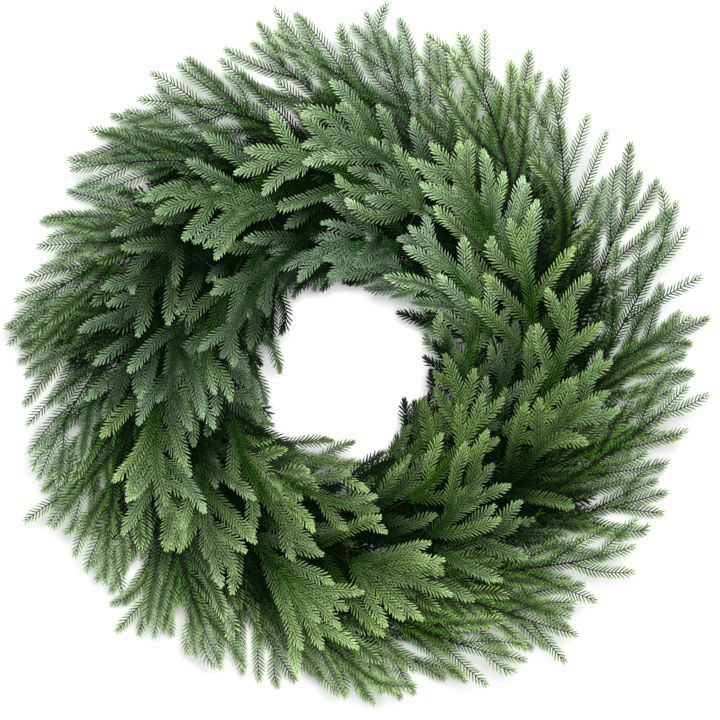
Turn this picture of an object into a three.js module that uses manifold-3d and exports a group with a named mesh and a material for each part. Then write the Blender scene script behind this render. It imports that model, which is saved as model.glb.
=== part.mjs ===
// A fresh evergreen wreath, lying on its back with the hole's axis along +Z.
// Fourteen bundles of cut sprigs are laid one after another round a raised wire
// frame and bound to it with one long wire. The tips all sweep anticlockwise.
// Lengths are millimetres and angles are degrees unless a name says otherwise.
import * as THREE from "three";
import { mergeVertices } from "three/addons/utils/BufferGeometryUtils.js";
import Module from "manifold-3d";

// ---- Frame and binding ----
const RING_RADIUS = 150; // of the circle that the bound stems follow
const RAIL_SPREAD = 22; // inner and outer rail from the middle one
const RAIL_HALF_HEIGHT = 1.8; // of a six-sided rail that rests on a flat
const RAIL_RADIUS = RAIL_HALF_HEIGHT / Math.sin(Math.PI / 3);
const MIDDLE_RAIL_HEIGHT = 13.5;
const RAIL_SEGMENTS = 24;
const BRACES = { count: 5, radius: 1.4, steps: 4 };
const BINDING = { radius: 0.9, across: 22, high: 22, middle: 30, linkShare: 0.25, steps: 10 };

// ---- Foliage ----
const BUNDLES = 14;
const BUNDLE_PITCH = 360 / BUNDLES;
const STEM = { corners: 4, halfWidth: 2.5, tipHalfWidth: 1.9, shoulderStep: 0.2, bendMargin: 5.5 };
const TWIG = { corners: 3, radius: 1.6, shoulderRadius: 2, shoulder: 0.87 };
const NEEDLE = { corners: 3, length: 11, radius: 0.85, angle: 40, firstFace: 60 };
const STEM_NEEDLE_SPACING = 52;
const STEEPEST_LIFT = 26; // of a twig out of the flat of its fan
const NARROWEST_FORK = 20; // between a twig and its stem
const SOLID_GAP = 0.8; // kept between the solids of different pieces
const TABLE_GAP = 1.2; // kept under anything that doesn't carry the wreath
const HOLE_RADIUS = 55; // no twig comes nearer to the middle
const REACH = { radius: 295, lean: 20, towards: 43 }; // the outline leans this way
const SEED = 641;

// lane: where the stem starts, out from the ring's circle and up from the table.
// heading: from straight outwards, anticlockwise, at the cut end and at the tip.
const FAMILIES = [
  {
    name: "low_outer", phase: -2, lane: [2, 21.5], length: 242, heading: [83, 40], rise: -5,
    steps: 7, twigs: 11, firstTwig: 50, twigLength: 100, twigAngle: 26, lift: 9, needleEvery: 70,
  },
  {
    name: "high_outer", phase: 8, lane: [8, 32], length: 269, heading: [82, 46], rise: 36,
    steps: 7, twigs: 10, firstTwig: 46, twigLength: 96, twigAngle: 23, lift: 16, needleEvery: 66,
  },
  {
    name: "face", phase: 3, lane: [-1, 42.5], length: 179, heading: [88, 69], rise: 54,
    steps: 6, twigs: 8, firstTwig: 34, twigLength: 74, twigAngle: 36, lift: 24, needleEvery: 50,
  },
  {
    name: "inner", phase: 8, lane: [-9, 27], length: 146, heading: [94, 129], rise: 6,
    steps: 5, twigs: 7, firstTwig: 28, twigLength: 50, twigAngle: 34, lift: 16, needleEvery: 44,
  },
];
// Every second inner sprig curls high along the edge of the hole instead.
const HIGH_INNER = { lane: [-11, 33], length: 154, heading: [96, 112], rise: 44, lift: 24 };

// ---- Small helpers ----
const radians = (angle) => (angle * Math.PI) / 180;
const add = (p, q) => [p[0] + q[0], p[1] + q[1], p[2] + q[2]];
const subtract = (p, q) => [p[0] - q[0], p[1] - q[1], p[2] - q[2]];
const scale = (p, k) => [p[0] * k, p[1] * k, p[2] * k];
const dot = (p, q) => p[0] * q[0] + p[1] * q[1] + p[2] * q[2];
const cross = (p, q) => [
  p[1] * q[2] - p[2] * q[1],
  p[2] * q[0] - p[0] * q[2],
  p[0] * q[1] - p[1] * q[0],
];
const unit = (p) => scale(p, 1 / Math.sqrt(dot(p, p)));
const mix = (p, q, t) => add(p, scale(subtract(q, p), t));
const clamp = (x, low, high) => Math.min(high, Math.max(low, x));
const blend = (p, q, angle) => add(scale(p, Math.cos(angle)), scale(q, Math.sin(angle)));

// A seeded generator of numbers from -1 to 1.
function dice(seed) {
  let state = seed >>> 0;
  return () => {
    state = (Math.imul(state, 1664525) + 1013904223) >>> 0;
    return (state / 4294967296) * 2 - 1;
  };
}

// ---- Clearance: all that is placed is kept as rods with one radius each ----
const rods = [];

function makeRod(from, to, radius, owner, limb) {
  const along = subtract(to, from);
  const half = Math.sqrt(dot(along, along)) / 2;
  return { from, to, radius, owner, limb, middle: mix(from, to, 0.5), half };
}

const chain = (points, radius, owner) =>
  points.slice(1).map((point, i) => makeRod(points[i], point, radius, owner, "stem"));

function gapBetween(p, q) {
  const d1 = subtract(p.to, p.from);
  const d2 = subtract(q.to, q.from);
  const r = subtract(p.from, q.from);
  const a = dot(d1, d1);
  const b = dot(d1, d2);
  const c = dot(d1, r);
  const e = dot(d2, d2);
  const f = dot(d2, r);
  const denominator = a * e - b * b;
  let s = denominator > 1e-9 ? clamp((b * f - c * e) / denominator, 0, 1) : 0;
  const t = clamp((b * s + f) / e, 0, 1);
  s = clamp((b * t - c) / a, 0, 1);
  const apart = subtract(add(p.from, scale(d1, s)), add(q.from, scale(d2, t)));
  return Math.sqrt(dot(apart, apart)) - p.radius - q.radius;
}

// A rod may touch only the limb of its own sprig that it grows from.
function isClear(rod, parent) {
  return rods.every((other) => {
    if (other.owner === rod.owner && other.limb === parent) return true;
    const away = subtract(rod.middle, other.middle);
    const far = rod.half + other.half + rod.radius + other.radius + SOLID_GAP;
    return dot(away, away) > far * far || gapBetween(rod, other) > SOLID_GAP;
  });
}

// ---- Paths of the frame and the binding wire ----
const onRing = (angle, out, up) => [
  (RING_RADIUS + out) * Math.cos(radians(angle)),
  (RING_RADIUS + out) * Math.sin(radians(angle)),
  up,
];

const RAILS = [
  [-RAIL_SPREAD, RAIL_HALF_HEIGHT],
  [0, MIDDLE_RAIL_HEIGHT],
  [RAIL_SPREAD, RAIL_HALF_HEIGHT],
];

const BRACE_ANGLES = Array.from({ length: BRACES.count }, (_, i) => (i * 360) / BRACES.count + 1);

// A brace arches from the inner to the outer rail through the middle one.
function braceArch(angle) {
  const [inner, , outer] = RAILS.map((rail) => new THREE.Vector3(...onRing(angle, ...rail)));
  const controlHeight = 2 * MIDDLE_RAIL_HEIGHT - RAIL_HALF_HEIGHT;
  return new THREE.QuadraticBezierCurve3(inner, new THREE.Vector3(...onRing(angle, 0, controlHeight)), outer);
}

// One turn round the stems of each bundle, then a link low on the inner side to
// the next bundle.
class BindingCurve extends THREE.Curve {
  getPoint(t, target = new THREE.Vector3()) {
    const turns = (t % 1) * BUNDLES;
    const turn = Math.floor(turns);
    const share = turns - turn;
    const looping = Math.min(1, share / (1 - BINDING.linkShare));
    const linking = Math.max(0, share - 1 + BINDING.linkShare) / BINDING.linkShare;
    const round = radians(-135 + 350 * looping + 10 * linking);
    const angle = (turn + 0.5 + 0.06 * looping + 0.94 * linking) * BUNDLE_PITCH;
    const out = BINDING.across * Math.cos(round);
    const up = BINDING.middle + BINDING.high * Math.sin(round);
    return target.set(...onRing(angle, out, up));
  }
  getUtoTmapping(u) {
    return u;
  }
}
const bindingCurve = new BindingCurve();
const BINDING_STEPS = BUNDLES * BINDING.steps;

function placeFrameAndWire() {
  for (const [out, up] of RAILS) {
    const points = [];
    for (let i = 0; i <= RAIL_SEGMENTS; i++) points.push(onRing((i * 360) / RAIL_SEGMENTS, out, up));
    rods.push(...chain(points, RAIL_RADIUS, "frame"));
  }
  for (const angle of BRACE_ANGLES) {
    const points = braceArch(angle).getPoints(BRACES.steps).map((point) => point.toArray());
    rods.push(...chain(points, BRACES.radius, "frame"));
  }
  const wire = [];
  for (let i = 0; i <= BINDING_STEPS; i++) wire.push(bindingCurve.getPoint(i / BINDING_STEPS).toArray());
  rods.push(...chain(wire, BINDING.radius, "wire"));
}

// ---- Stems ----
const leanTowards = (angle) => REACH.lean * Math.cos(angle - radians(REACH.towards));

function isInBounds(point, slack) {
  const out = Math.hypot(point[0], point[1]);
  const reach = REACH.radius + leanTowards(Math.atan2(point[1], point[0]));
  return out < reach + slack && out > HOLE_RADIUS && point[2] > TABLE_GAP + 2 * STEM.halfWidth;
}

function drawStem({ phase, lane, length, heading, rise, steps }, bundle, roll) {
  let angle = radians(bundle * BUNDLE_PITCH + phase + roll() * 2.2);
  let radius = RING_RADIUS + lane[0] + roll() * 1.5;
  const up = lane[1] + roll() * 1.5;
  const stretch = 1 + (1.2 * leanTowards(angle + radians(65))) / REACH.radius + roll() * 0.06;
  const finish = heading[1] + roll() * 5;
  const climb = rise + roll() * 7;
  const step = (length * stretch) / steps;
  const points = [[radius * Math.cos(angle), radius * Math.sin(angle), up]];
  for (let i = 1; i <= steps; i++) {
    const left = 1 - (i - 0.5) / steps;
    const course = radians(finish + (heading[0] - finish) * left * left);
    angle += (step * Math.sin(course)) / (radius + 0.5 * step * Math.cos(course));
    radius += step * Math.cos(course);
    const done = i / steps;
    const height = up + climb * done * done * (3 - 2 * done);
    points.push([radius * Math.cos(angle), radius * Math.sin(angle), height]);
  }
  return { points, length: length * stretch };
}

function placeStem(sprig, bundle, roll) {
  for (let attempt = 0; attempt < 80; attempt++) {
    const { points, length } = drawStem(sprig.family, bundle, roll);
    const stem = chain(points, STEM.halfWidth * Math.SQRT2, sprig.name);
    if (points.slice(2).every((point) => isInBounds(point, 0)) && stem.every((rod) => isClear(rod))) {
      Object.assign(sprig, { points, length });
      rods.push(...stem);
      return;
    }
  }
  throw new Error(sprig.name + " has no clear way for its stem");
}

// The stem at a share of its length: its place, its direction, and the upper
// side and the left side of the fan of twigs.
function stemFrame({ points, family, fanRoll }, share) {
  const place = Math.min(share, 0.9999) * family.steps;
  const i = Math.floor(place);
  const along = unit(subtract(points[i + 1], points[i]));
  const upright = unit(subtract([0, 0, 1], scale(along, along[2])));
  const upper = blend(upright, cross(along, upright), radians(fanRoll));
  return { point: mix(points[i], points[i + 1], place - i), along, upper, left: cross(upper, along) };
}

// Branches keep off the bends between the straight steps of a stem.
function clearOfBends({ length, family }, distance) {
  const step = length / family.steps;
  const bend = Math.round(distance / step) * step;
  if (Math.abs(distance - bend) > STEM.bendMargin) return distance;
  return bend + (distance < bend ? -STEM.bendMargin : STEM.bendMargin);
}

const stemHalfWidth = (share) => STEM.halfWidth + (STEM.tipHalfWidth - STEM.halfWidth) * share;

// ---- Limbs: twigs and needles, pointed rods that stand on a parent's face ----
// Face 0 of a stem is its upper side and face 1 its left side.
const faceNormal = (limb, face) =>
  blend(limb.upper, limb.left, radians(limb.firstFace + (360 * face) / limb.corners));

function makeLimb(kind, from, direction, length, upper, face, distance) {
  const left = unit(cross(upper, direction));
  return {
    ...kind, from, direction, length, left, face, distance,
    to: add(from, scale(direction, length)),
    upper: cross(direction, left),
    branches: [],
  };
}

const twigRadius = (share) => TWIG.radius + ((TWIG.shoulderRadius - TWIG.radius) * share) / TWIG.shoulder;

// Twigs are longest a third of the way along and shorten towards the tip.
const fanProfile = (t) => (t < 0.35 ? 0.72 + 0.8 * t : 1.3 - 0.85 * t);

function placeTwig(sprig, index, roll) {
  const { family, length } = sprig;
  const t = index / (family.twigs - 1);
  const wanted = family.firstTwig + (length - 26 - family.firstTwig) * t + roll() * 3;
  const distance = clearOfBends(sprig, wanted);
  const { point, along, upper, left } = stemFrame(sprig, distance / length);
  const face = (index + sprig.firstSide) % 2 ? 1 : 3;
  const outwards = scale(left, 2 - face);
  const from = add(point, scale(outwards, stemHalfWidth(distance / length)));
  for (let attempt = 0; attempt < 24; attempt++) {
    const shrink = attempt < 12 ? 1 : 1 - 0.05 * (attempt - 11);
    const angle = radians(Math.max(NARROWEST_FORK, family.twigAngle - 5 * t + roll() * 7));
    const lift = clamp(roll() * family.lift * (1 + attempt / 10), -STEEPEST_LIFT, STEEPEST_LIFT);
    const reach = family.twigLength * fanProfile(t) * (1 + roll() * 0.14) * shrink;
    const direction = blend(along, blend(outwards, upper, radians(lift)), angle);
    const kind = { ...TWIG, firstFace: 90 + 180 * (index % 2), name: "twig" + index };
    const twig = makeLimb(kind, from, direction, reach, upper, face, distance);
    const rod = makeRod(from, twig.to, TWIG.shoulderRadius, sprig.name, twig.name);
    if (isInBounds(twig.to, 4) && isClear(rod, "stem")) {
      rods.push(rod);
      sprig.branches.push(twig);
      return;
    }
  }
}

function layOutSprigs() {
  const sprigs = [];
  for (let bundle = 0; bundle < BUNDLES; bundle++) {
    FAMILIES.forEach((plain, f) => {
      const family = plain.name === "inner" && bundle % 2 ? { ...plain, ...HIGH_INNER } : plain;
      const name = `${family.name}_sprig_${String(bundle + 1).padStart(2, "0")}`;
      const roll = dice(SEED + 1000 * f + 37 * bundle);
      const sprig = { name, family, roll, branches: [], firstSide: bundle % 2, fanRoll: roll() * 14 };
      placeStem(sprig, bundle, roll);
      sprigs.push(sprig);
    });
  }
  for (let index = 0; index < Math.max(...FAMILIES.map((family) => family.twigs)); index++) {
    for (const sprig of sprigs) if (index < sprig.family.twigs) placeTwig(sprig, index, sprig.roll);
  }
  return sprigs;
}

// ---- Needles: a few at true size, on each face of a twig by turns ----
function placeNeedle(owner, parent, along, faces, distance, surfaceAt) {
  for (const face of faces) {
    const { point, normal } = surfaceAt(face);
    const direction = blend(along, normal, radians(NEEDLE.angle));
    const needle = makeLimb(NEEDLE, point, direction, NEEDLE.length, normal, face, distance);
    const rod = makeRod(point, needle.to, NEEDLE.radius, owner, parent.name);
    if (needle.to[2] > TABLE_GAP && isClear(rod, parent.name)) {
      rods.push(rod);
      parent.branches.push(needle);
      return;
    }
  }
}

function placeTwigNeedles(sprig, twig, index) {
  const count = Math.max(1, Math.round(twig.length / sprig.family.needleEvery));
  for (let n = 0; n < count; n++) {
    const share = 0.8 - (0.6 * n) / count;
    const axis = mix(twig.from, twig.to, share);
    const surfaceAt = (face) => {
      const normal = faceNormal(twig, face);
      return { normal, point: add(axis, scale(normal, twigRadius(share) / 2)) };
    };
    const faces = [0, 1, 2].map((face) => (face + n + index) % 3);
    placeNeedle(sprig.name, twig, twig.direction, faces, share * twig.length, surfaceAt);
  }
}

function placeStemNeedles(sprig) {
  const { branches, length, family } = sprig;
  const count = Math.round((length - family.firstTwig) / STEM_NEEDLE_SPACING);
  for (let n = 0; n < count; n++) {
    const distance = clearOfBends(sprig, length - 14 - n * STEM_NEEDLE_SPACING);
    const { point, along, upper } = stemFrame(sprig, distance / length);
    const surfaceAt = (face) => {
      const normal = scale(upper, 1 - face);
      return { normal, point: add(point, scale(normal, stemHalfWidth(distance / length))) };
    };
    const stem = { name: "stem", branches };
    placeNeedle(sprig.name, stem, along, n % 2 ? [0, 2] : [2, 0], distance, surfaceAt);
  }
}

// ---- The closed surface of a sprig ----
class Skin {
  places = [];
  triangles = [];

  addCorner(place) {
    this.places.push(place);
    return this.places.length - 1;
  }

  // Fills a flat face. An outline and the holes in it, left for branches, are
  // lists of corners with their x along the face and their y across it.
  addFace(outline, holes) {
    const flat = (corners) => corners.map(({ x, y }) => new THREE.Vector2(x, y));
    const corners = [outline, ...holes].flat();
    for (const triangle of THREE.ShapeUtils.triangulateShape(flat(outline), holes.map(flat))) {
      this.triangles.push(...triangle.map((i) => corners[i].corner));
    }
  }

  toGeometry() {
    const geometry = new THREE.BufferGeometry();
    geometry.setAttribute("position", new THREE.Float32BufferAttribute(this.places.flat(), 3));
    geometry.setIndex(this.triangles);
    geometry.computeVertexNormals();
    return geometry;
  }
}

const isOn = (face) => (branch) => branch.face === face;
const before = (limb, face) => (face + limb.corners - 1) % limb.corners;

function cornerDirections(limb) {
  const directions = [];
  for (let k = 0; k < limb.corners; k++) directions.push(faceNormal(limb, k + 0.5));
  return directions;
}

// Adds a limb and its branches. Returns its foot: a hole in its parent's face,
// whose outward side is `normal` and whose length runs `along`.
function addLimb(skin, limb, normal, along) {
  const across = cross(normal, along);
  const halfFace = Math.sin(Math.PI / limb.corners);
  const foot = [];
  const base = cornerDirections(limb).map((corner) => {
    const offset = scale(corner, limb.radius);
    const x = -dot(offset, normal) / dot(limb.direction, normal);
    const place = add(offset, scale(limb.direction, x));
    const index = skin.addCorner(add(limb.from, place));
    foot.push({ corner: index, x: limb.distance + dot(place, along), y: dot(place, across) });
    return { corner: index, x, y: limb.radius * halfFace };
  });
  const tip = skin.addCorner(limb.to);
  const ends = limb.shoulder ? addShoulder(skin, limb, halfFace) : [];
  for (let face = 0; face < limb.corners; face++) {
    const [low, high] = [base[before(limb, face)], base[face]];
    const normalHere = faceNormal(limb, face);
    const holes = limb.branches.filter(isOn(face)).map((b) => addLimb(skin, b, normalHere, limb.direction));
    if (!limb.shoulder) {
      skin.triangles.push(low.corner, tip, high.corner);
      continue;
    }
    const [lowEnd, highEnd] = [ends[before(limb, face)], ends[face]];
    skin.addFace([mirrored(low), mirrored(lowEnd), highEnd, high], holes);
    skin.triangles.push(lowEnd.corner, tip, highEnd.corner);
  }
  return foot;
}

const mirrored = ({ corner, x, y }) => ({ corner, x, y: -y });

function addShoulder(skin, limb, halfFace) {
  const middle = mix(limb.from, limb.to, limb.shoulder);
  return cornerDirections(limb).map((corner) => ({
    corner: skin.addCorner(add(middle, scale(corner, limb.shoulderRadius))),
    x: limb.shoulder * limb.length,
    y: limb.shoulderRadius * halfFace,
  }));
}

// The four corners of the stem round a share of its length.
function addStemRing(skin, sprig, share) {
  const step = 0.5 / sprig.family.steps;
  const { point } = stemFrame(sprig, share);
  const back = stemFrame(sprig, Math.max(0, share - step));
  const ahead = stemFrame(sprig, share + step);
  const along = unit(add(back.along, ahead.along));
  const left = unit(cross(add(back.upper, ahead.upper), along));
  const limb = { ...STEM, firstFace: 0, upper: cross(along, left), left };
  const halfWidth = stemHalfWidth(share);
  return cornerDirections(limb).map((corner) => ({
    corner: skin.addCorner(add(point, scale(corner, halfWidth * Math.SQRT2))),
    x: share * sprig.length,
    y: halfWidth,
  }));
}

function addStemStep(skin, sprig, face, start, end) {
  const isHere = (branch) => branch.face === face && start[0].x < branch.distance && branch.distance < end[0].x;
  const holes = sprig.branches.filter(isHere).map((branch) => {
    const { along, upper, left } = stemFrame(sprig, branch.distance / sprig.length);
    return addLimb(skin, branch, faceNormal({ ...STEM, firstFace: 0, upper, left }, face), along);
  });
  const low = before(STEM, face);
  skin.addFace([mirrored(start[low]), mirrored(end[low]), end[face], start[face]], holes);
}

function sprigGeometry(sprig) {
  const skin = new Skin();
  const { points, family } = sprig;
  const rings = [];
  for (let i = 0; i < family.steps; i++) rings.push(addStemRing(skin, sprig, i / family.steps));
  const shoulder = addStemRing(skin, sprig, 1 - STEM.shoulderStep / family.steps);
  rings.push(shoulder);
  const tip = skin.addCorner(points[family.steps]);
  for (let face = 0; face < STEM.corners; face++) {
    rings.slice(1).forEach((ring, i) => addStemStep(skin, sprig, face, rings[i], ring));
    skin.triangles.push(shoulder[before(STEM, face)].corner, tip, shoulder[face].corner);
  }
  const [a, b, c, d] = rings[0].map((corner) => corner.corner);
  skin.triangles.push(a, b, c, a, c, d);
  return skin.toGeometry();
}

// ---- The frame and the wire ----
const wasm = await Module();
wasm.setup();

function closedGeometry(geometry) {
  geometry.deleteAttribute("normal");
  geometry.deleteAttribute("uv");
  return mergeVertices(geometry, 1e-4);
}

function toSolid(geometry) {
  const merged = closedGeometry(geometry);
  const vertProperties = merged.attributes.position.array;
  const triVerts = new Uint32Array(merged.index.array);
  return new wasm.Manifold(new wasm.Mesh({ numProp: 3, vertProperties, triVerts }));
}

function braceSolid(angle) {
  const half = BRACES.radius / Math.SQRT2;
  const corners = [[-half, -half], [half, -half], [half, half], [-half, half]];
  const section = new THREE.Shape(corners.map((corner) => new THREE.Vector2(...corner)));
  const options = { steps: BRACES.steps, extrudePath: braceArch(angle), bevelEnabled: false };
  return toSolid(new THREE.ExtrudeGeometry(section, options));
}

function frameGeometry() {
  const solids = RAILS.map(([out, up]) =>
    toSolid(new THREE.TorusGeometry(RING_RADIUS + out, RAIL_RADIUS, 6, RAIL_SEGMENTS).translate(0, 0, up)),
  );
  const mesh = [...solids, ...BRACE_ANGLES.map(braceSolid)].reduce((all, solid) => all.add(solid)).getMesh();
  const geometry = new THREE.BufferGeometry();
  geometry.setAttribute("position", new THREE.BufferAttribute(mesh.vertProperties, 3));
  geometry.setIndex(new THREE.BufferAttribute(mesh.triVerts, 1));
  geometry.computeVertexNormals();
  return geometry;
}

// The wire's two ends are twisted into one, so that it closes on itself.
function wireGeometry() {
  const wire = closedGeometry(new THREE.TubeGeometry(bindingCurve, BINDING_STEPS, BINDING.radius, 3, true));
  wire.computeVertexNormals();
  return wire;
}

// ---- Assembly ----
const wreath = new THREE.Group();
wreath.name = "fresh_evergreen_wreath";

function addMesh(name, geometry, finish) {
  const mesh = new THREE.Mesh(geometry, new THREE.MeshStandardMaterial(finish));
  mesh.name = name;
  wreath.add(mesh);
}

placeFrameAndWire();
const sprigs = layOutSprigs();
addMesh("wire_frame", frameGeometry(), { color: 0x24402a, roughness: 0.45, metalness: 0.6 });
addMesh("binding_wire", wireGeometry(), { color: 0x2f5a36, roughness: 0.4, metalness: 0.6 });
for (const sprig of sprigs) {
  sprig.branches.slice().forEach((twig, index) => placeTwigNeedles(sprig, twig, index));
  placeStemNeedles(sprig);
  addMesh(sprig.name, sprigGeometry(sprig), { color: 0x567a4c, roughness: 0.6, metalness: 0 });
}

// The origin is under the middle of the whole wreath, so its frame stands a
// little to one side, as the hole does.
const bounds = new THREE.Box3().setFromObject(wreath);
const middle = bounds.getCenter(new THREE.Vector3());
wreath.position.set(-middle.x, -middle.y, -bounds.min.z);

export default wreath;
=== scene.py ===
import math
import random
import bmesh
import bpy
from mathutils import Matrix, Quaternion, Vector


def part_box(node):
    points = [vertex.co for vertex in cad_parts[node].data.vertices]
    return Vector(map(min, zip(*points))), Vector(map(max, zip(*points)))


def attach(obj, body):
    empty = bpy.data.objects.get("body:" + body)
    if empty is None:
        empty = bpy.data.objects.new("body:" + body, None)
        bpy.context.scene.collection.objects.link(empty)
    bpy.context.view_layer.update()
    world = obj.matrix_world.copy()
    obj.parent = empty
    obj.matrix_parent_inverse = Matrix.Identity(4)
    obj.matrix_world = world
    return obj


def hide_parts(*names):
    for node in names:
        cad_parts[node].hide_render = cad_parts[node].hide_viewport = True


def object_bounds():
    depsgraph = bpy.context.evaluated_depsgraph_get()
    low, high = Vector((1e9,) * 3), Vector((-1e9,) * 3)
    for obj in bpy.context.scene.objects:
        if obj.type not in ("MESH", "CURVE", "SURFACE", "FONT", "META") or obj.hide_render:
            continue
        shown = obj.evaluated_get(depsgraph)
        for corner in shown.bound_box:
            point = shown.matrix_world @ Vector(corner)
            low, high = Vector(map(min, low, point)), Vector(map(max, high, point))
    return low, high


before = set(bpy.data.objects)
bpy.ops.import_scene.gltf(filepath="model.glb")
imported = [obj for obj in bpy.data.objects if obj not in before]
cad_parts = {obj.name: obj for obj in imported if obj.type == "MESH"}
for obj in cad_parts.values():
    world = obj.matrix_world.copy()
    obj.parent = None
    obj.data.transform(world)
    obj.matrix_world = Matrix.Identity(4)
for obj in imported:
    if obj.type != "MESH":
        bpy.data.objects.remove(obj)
cad_low, cad_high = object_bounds()
ring_low, ring_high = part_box("wire_frame")
ring_centre = (ring_low + ring_high) / 2

# A fresh evergreen wreath that lies on its back. Each bound sprig of the frame is
# read for its stem and twigs, and grown again with round bark and every needle.
# Smaller sprays, each bound at the ring, fill in between the sprigs.
# Lengths are metres. Angles are degrees unless a name's comment says otherwise.

MM = 0.001
SEED = 2611
UP = Vector((0, 0, 1))

# ---- The ring and its wires, as bought ----
RING_RADIUS = 150 * MM
RAIL_OFFSETS = (-22 * MM, 0.0, 22 * MM)
RAIL_HEIGHTS = (1.8 * MM, 13.5 * MM, 1.8 * MM)
RAIL_WIRE = 1.8 * MM  # the radius, as for each wire below
BRACE_WIRE = 1.4 * MM
BRACES = 5
BRACE_START = 1
RAIL_STEPS = 120
BRACE_STEPS = 12
BUNDLES = 14
BINDING_WIRE = 0.75 * MM
BINDING_ACROSS = 22 * MM
BINDING_HIGH = 22 * MM
BINDING_MIDDLE = 30 * MM
BINDING_START = -135  # where a turn round a bundle starts, from straight outwards
BINDING_TURN = 350
BINDING_ADVANCE = 0.06  # of a bundle's pitch, in one turn round it
BINDING_LINK_SHARE = 0.25  # of the wire's steps, on the way to the next bundle
BINDING_STEPS = 40  # from each bundle to the next

# ---- Bark ----
STEM_CUT_RADIUS = 1.15 * MM  # of a stem that is as long as LONG_STEM
LONG_STEM = 180 * MM
STEM_TIP_RADIUS = 0.46 * MM
TWIG_ROOT_RADIUS = 0.6 * MM
TWIG_TIP_RADIUS = 0.4 * MM
BARK_SIDES = 6
TWIG_SWING = 7
TWIG_BOW = 0.05  # how far a twig bows out, as a share of its length
BOW_CHANCE = (-0.04, 0.03)
SAG_CHANCE = 0.03
CURLED_SHARE = 0.14  # of the twigs, which bow out or in much more
CURL = (0.1, 0.2)
ROLL_CHANCE = 0.35  # radians that a spray or a twig rolls over to either side
TWIG_STEPS = 8
NEEDLES_PAST_TWIG = 2.5 * MM  # a twig's bark ends this far short of its solid's tip
SOLID_TWIG_START = 5 * MM  # from the middle of a stem to where a solid's twig leaves it
SOLID_TWIG_SHOULDER = 0.87  # where the solid twig starts to narrow
SOLID_NEEDLE_GIRTH = 1.6 * MM  # a solid's ring of corners under this is a needle's
SOLID_RIDGE = 45  # a stem's ridge is sharper than this
SAME_CORNER = 0.02 * MM
SAME_REACH = 0.05 * MM  # the ridges of a stem's tip are equally long within this
STEPS = 4  # of a smooth stem, from each read point to the next

# ---- Needles ----
NEEDLE_LENGTH = 10 * MM
NEEDLE_HALF_WIDTH = 0.66 * MM
NEEDLE_KEEL = 0.5 * MM
NEEDLE_BACK = 0.2 * MM
NEEDLE_PROFILES = {  # share of length, share of width
    "full": ((0.0, 0.45), (0.25, 1.0), (0.72, 0.9)),
    "plain": ((0.0, 0.66), (0.6, 1.12)),
}
TOP_LEAN = 17  # of the needles on top of a twig, out from the twig's own direction
TOP_NEEDLE = 0.66  # their length as a share of the side needles'
TIP_ZONE = 10 * MM
TIP_CLOSING = 0.6  # share of their lean that needles lose at a twig's tip
TIP_SHORTENING = 0.34
ROOT_ZONE = 8 * MM  # where needles at the root of a twig are shorter
ROOT_FULLNESS = 0.55
NEEDLE_FOOT = 0.6  # how far out a needle starts, as a share of the bark's radius
# Roll and lean are in radians, place is in gaps between whorls, and length is a share.
NEEDLE_CHANCE = dict(roll=0.1, lean=0.06, place=0.08, length=0.07)
TUFT_REACH = 6.5 * MM  # the end of a twig that carries twice as many needles

# ---- Age, painted shade and painted light, and colour, from place to place ----
OLD_GROWTH = (80 * MM, 190 * MM)  # from the tip: where growth starts to age, is old
OLD_AGE = 0.8
TWIG_TIP_AGE = 0.3  # as a share of the age at the twig's root
SPROUT_ZONE = 64 * MM  # from the tip back to where growth isn't pale any more
CROWN_HEIGHT = 104 * MM  # of the wreath's rounded top, over the ring
CROWN_REACH_IN = 88 * MM  # from the ring in to where the crown meets the table
CROWN_REACH_OUT = 102 * MM
# Painted shade: growth deep under the crown and round the hole is darkened as old growth is, for the
# shade that falls there.
UNSHADED_DEPTH = 12 * MM  # growth deeper than this under the crown gets painted shade, added to its age
BURIED_DEPTH = 50 * MM  # and this much further down the painted shade is at its darkest
BURIED_SHADE = 0.72
HOLE_EDGE = (-48 * MM, -76 * MM)  # out from the ring: where painted shade round the hole starts, and where it is full
HOLE_SHADE = 0.6
BLUEST = 130  # the side of the wreath with the bluest sprays
BLUE_LEAN = 0.3
YOUNGEST = 76  # the youngest and palest sprays are on this side and on the one across
YOUNG_LEAN = 0.13
PALENESS = 0.84
PALE_LEAN = 0.18
LIT_SIDE = 20  # painted light: one side of the wreath is made a little paler and fresher in colour than the other, as if lit more
LIT_SIDE_LEAN = 0.14
SPRAY_CHANCE = dict(blue=(-0.3, 0.3), age=(-0.15, 0.5))
TWIG_CHANCE = dict(blue=(-0.2, 0.2), age=(-0.1, 0.25))
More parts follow.
